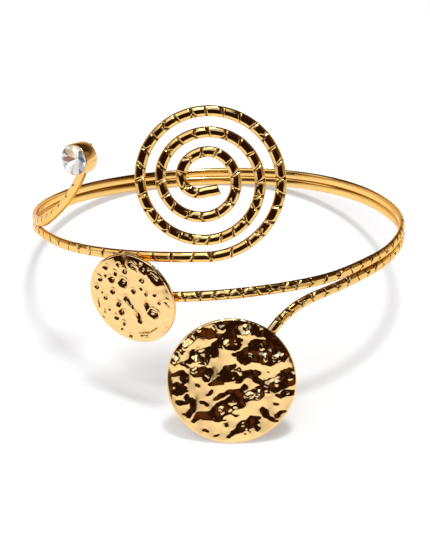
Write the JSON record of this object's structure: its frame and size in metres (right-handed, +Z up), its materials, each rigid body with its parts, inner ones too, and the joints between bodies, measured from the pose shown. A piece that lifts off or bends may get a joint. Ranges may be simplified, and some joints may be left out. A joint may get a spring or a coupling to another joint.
{
  "type": "upper arm cuff",
  "caption": "Open spiral arm cuff of two slim engraved gold strands, ending in a flat spiral, two hammered discs and a crystal in a cup.",
  "frame": {"origin": "middle of the cuff's footprint, on the surface it lies on", "axes": "+X to the right of the spiral as seen from the front, +Y from the spiral towards the back of the band, +Z up from the surface"},
  "size_m": [0.081, 0.0982, 0.0629],
  "materials": {
    "gold": "polished gold plate",
    "crystal": "clear cut crystal with a foiled back"
  },
  "bodies": {
    "root": {"cuff": "gold", "crystal": "crystal"}
  },
  "joints": []
}
